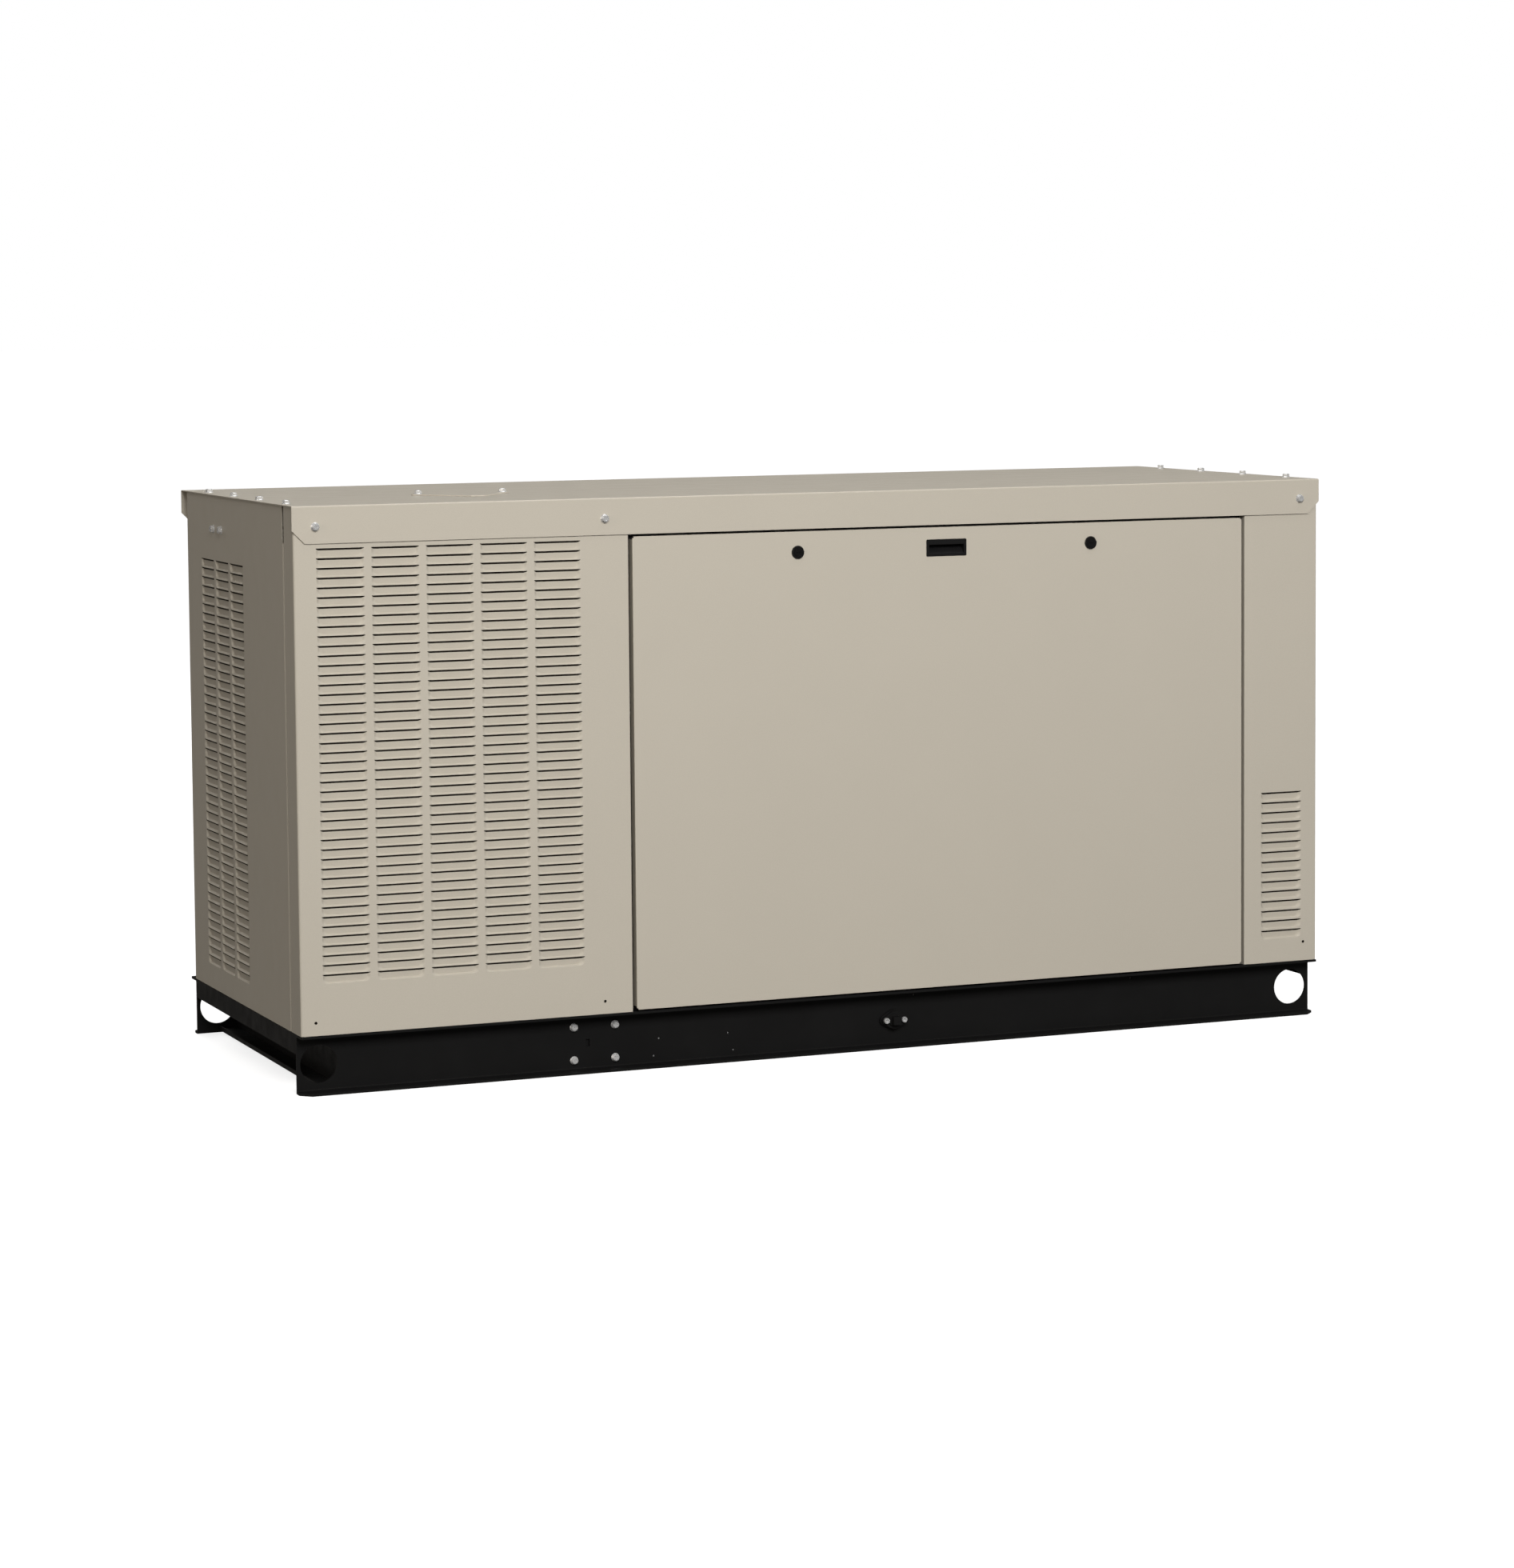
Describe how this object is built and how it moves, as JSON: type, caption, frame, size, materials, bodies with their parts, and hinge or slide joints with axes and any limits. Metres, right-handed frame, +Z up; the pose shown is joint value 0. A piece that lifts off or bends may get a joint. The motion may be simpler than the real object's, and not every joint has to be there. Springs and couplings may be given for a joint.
{
  "type": "home standby generator",
  "caption": "Standby generator in a low beige louvred steel enclosure on a black channel skid, with a lift-off service door and engine, radiator and alternator inside.",
  "frame": {"origin": "middle of the footprint on the ground", "axes": "+X along the length towards the control end, -Y is the service door side, +Z up"},
  "size_m": [2.2892, 0.8436, 1.1691],
  "materials": {
    "enclosure_paint": "satin",
    "frame_black": "satin",
    "zinc": "satin",
    "black_hardware": "matte",
    "foam": "matte",
    "rubber": "matte",
    "cast_iron": "satin",
    "cast_aluminium": "satin",
    "black_steel": "gloss",
    "aluminised_steel": "satin",
    "gas_pipe": "satin",
    "battery_case": "satin",
    "control_paint": "satin"
  },
  "bodies": {
    "root": {"air_cleaner": "black_hardware", "base_cross_members": "frame_black", "base_pan": "zinc", "battery": "battery_case", "control_box": "control_paint", "cylinder_head": "cast_aluminium", "door_frame": "zinc", "drain_flange": "frame_black", "drain_hose": "rubber", "drain_plug": "frame_black", "drive_belt": "rubber", "enclosure_bolts": "zinc", "engine_block": "cast_iron", "engine_feet": "frame_black", "exhaust_manifold": "cast_iron", "fan_shroud": "black_hardware", "fill_cover_plate": "enclosure_paint", "flywheel_housing": "cast_iron", "front_louvre_panel": "enclosure_paint", "front_right_panel": "enclosure_paint", "gas_line": "gas_pipe", "generator_end_bell": "cast_iron", "generator_stator": "black_steel", "intake_manifold": "cast_aluminium", "left_end_panel": "enclosure_paint", "main_breaker": "black_hardware", "oil_filter": "black_hardware", "oil_pan": "cast_aluminium", "radiator_bulkhead": "zinc", "radiator_core": "cast_aluminium", "radiator_hoses": "rubber", "radiator_tanks": "black_steel", "rail_fasteners": "zinc", "rear_louvre_panel": "enclosure_paint", "rear_service_panel": "enclosure_paint", "right_end_panel": "enclosure_paint", "roof": "enclosure_paint", "roof_liner": "foam", "silencer": "aluminised_steel", "skid_rail_front": "frame_black", "skid_rail_rear": "frame_black", "starter_motor": "black_steel", "valve_cover": "cast_aluminium", "vibration_mounts": "rubber", "water_pump": "cast_aluminium"},
    "front_door": {"front_door": "enclosure_paint", "door_liner": "foam", "door_seal": "rubber", "door_pull": "black_hardware", "lock_housings": "black_hardware"},
    "latch_left": {"latch_left": "black_hardware"},
    "latch_right": {"latch_right": "black_hardware"},
    "crank": {"crankshaft": "cast_iron", "generator_rotor": "black_steel"},
    "fan": {"cooling_fan": "black_hardware"},
    "radiator_cap": {"radiator_cap": "cast_aluminium"},
    "oil_filler_cap": {"oil_filler_cap": "black_hardware"},
    "dipstick": {"dipstick": "zinc"},
    "mode_switch": {"mode_switch": "black_hardware"},
    "breaker_toggle": {"breaker_toggle": "black_hardware"}
  },
  "joints": [
    {"name": "door_tilt", "type": "hinge", "parent": "root", "child": "front_door", "pos_m": [0.2595, -0.416, 0.1225], "axis": [1, 0, 0], "range_deg": [0, 35]},
    {"name": "latch_left_turn", "type": "hinge", "parent": "front_door", "child": "latch_left", "pos_m": [-0.074, -0.39, 1.0375], "axis": [0, -1, 0], "range_deg": [0, 90]},
    {"name": "latch_right_turn", "type": "hinge", "parent": "front_door", "child": "latch_right", "pos_m": [0.593, -0.39, 1.0375], "axis": [0, -1, 0], "range_deg": [0, 90]},
    {"name": "crank_spin", "type": "hinge", "parent": "root", "child": "crank", "pos_m": [0, 0, 0.4], "axis": [1, 0, 0], "continuous": true},
    {"name": "fan_spin", "type": "hinge", "parent": "root", "child": "fan", "pos_m": [-0.6, 0, 0.6], "axis": [1, 0, 0], "continuous": true},
    {"name": "radiator_cap_turn", "type": "hinge", "parent": "root", "child": "radiator_cap", "pos_m": [-0.688, -0.095, 1.085], "axis": [0, 0, -1], "range_deg": [0, 90]},
    {"name": "oil_cap_turn", "type": "hinge", "parent": "root", "child": "oil_filler_cap", "pos_m": [-0.4, 0, 0.85], "axis": [0, 0, 1], "range_deg": [0, 90]},
    {"name": "dipstick_pull", "type": "slide", "parent": "root", "child": "dipstick", "axis": [0, 0, 1], "range_m": [0, 0.36]},
    {"name": "mode_switch_turn", "type": "hinge", "parent": "root", "child": "mode_switch", "pos_m": [0.56, -0.38, 0.78], "axis": [0, 1, 0], "range_deg": [-45, 45]},
    {"name": "breaker_throw", "type": "hinge", "parent": "root", "child": "breaker_toggle", "pos_m": [0.822, -0.33, 0.82], "axis": [1, 0, 0], "range_deg": [0, 44]}
  ],
  "couplings": [
    {"joint": "fan_spin", "follows": "crank_spin", "ratio": 1.2143}
  ]
}
